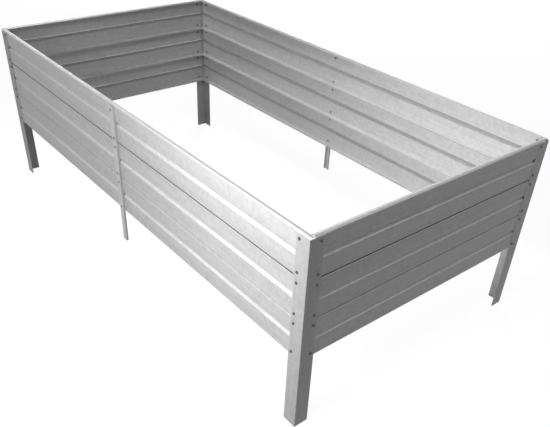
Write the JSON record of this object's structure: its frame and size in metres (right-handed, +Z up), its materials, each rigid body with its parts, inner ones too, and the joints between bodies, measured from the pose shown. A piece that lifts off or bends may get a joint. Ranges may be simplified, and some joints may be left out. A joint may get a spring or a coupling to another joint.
{
  "type": "raised garden bed",
  "caption": "Long open raised garden bed of folded galvanised steel boards, bolted inside angle corner posts that stand below the walls as legs, with a channel post at each long wall's middle",
  "frame": {"origin": "On the ground under the middle of the bed, at the centre of its footprint.", "axes": "+X along the long walls, towards the right-hand end wall; +Y along the short walls, from the front wall to the back wall; +Z up, away from the ground."},
  "size_m": [1.9636, 1.0176, 0.654],
  "materials": {
    "board_zinc": "galvanised sheet, dull silver grey with fine spangle",
    "post_zinc": "galvanised sheet, dull silver grey",
    "bolt_zinc": "zinc plated, darker than the sheet",
    "nut_zinc": "zinc plated, darker than the sheet"
  },
  "bodies": {
    "root": {"front_board_bottom": "board_zinc", "front_board_middle": "board_zinc", "front_board_top": "board_zinc", "back_board_bottom": "board_zinc", "back_board_middle": "board_zinc", "back_board_top": "board_zinc", "right_board_bottom": "board_zinc", "right_board_middle": "board_zinc", "right_board_top": "board_zinc", "left_board_bottom": "board_zinc", "left_board_middle": "board_zinc", "left_board_top": "board_zinc", "corner_post_front_left": "post_zinc", "corner_post_front_right": "post_zinc", "corner_post_back_right": "post_zinc", "corner_post_back_left": "post_zinc", "mid_post_front": "post_zinc", "mid_post_back": "post_zinc", "bolts_corner_front_left": "bolt_zinc", "bolts_corner_front_right": "bolt_zinc", "bolts_corner_back_right": "bolt_zinc", "bolts_corner_back_left": "bolt_zinc", "bolts_mid_front": "bolt_zinc", "bolts_mid_back": "bolt_zinc", "nuts_corner_front_left": "nut_zinc", "nuts_corner_front_right": "nut_zinc", "nuts_corner_back_right": "nut_zinc", "nuts_corner_back_left": "nut_zinc", "nuts_mid_front": "nut_zinc", "nuts_mid_back": "nut_zinc"}
  },
  "joints": []
}
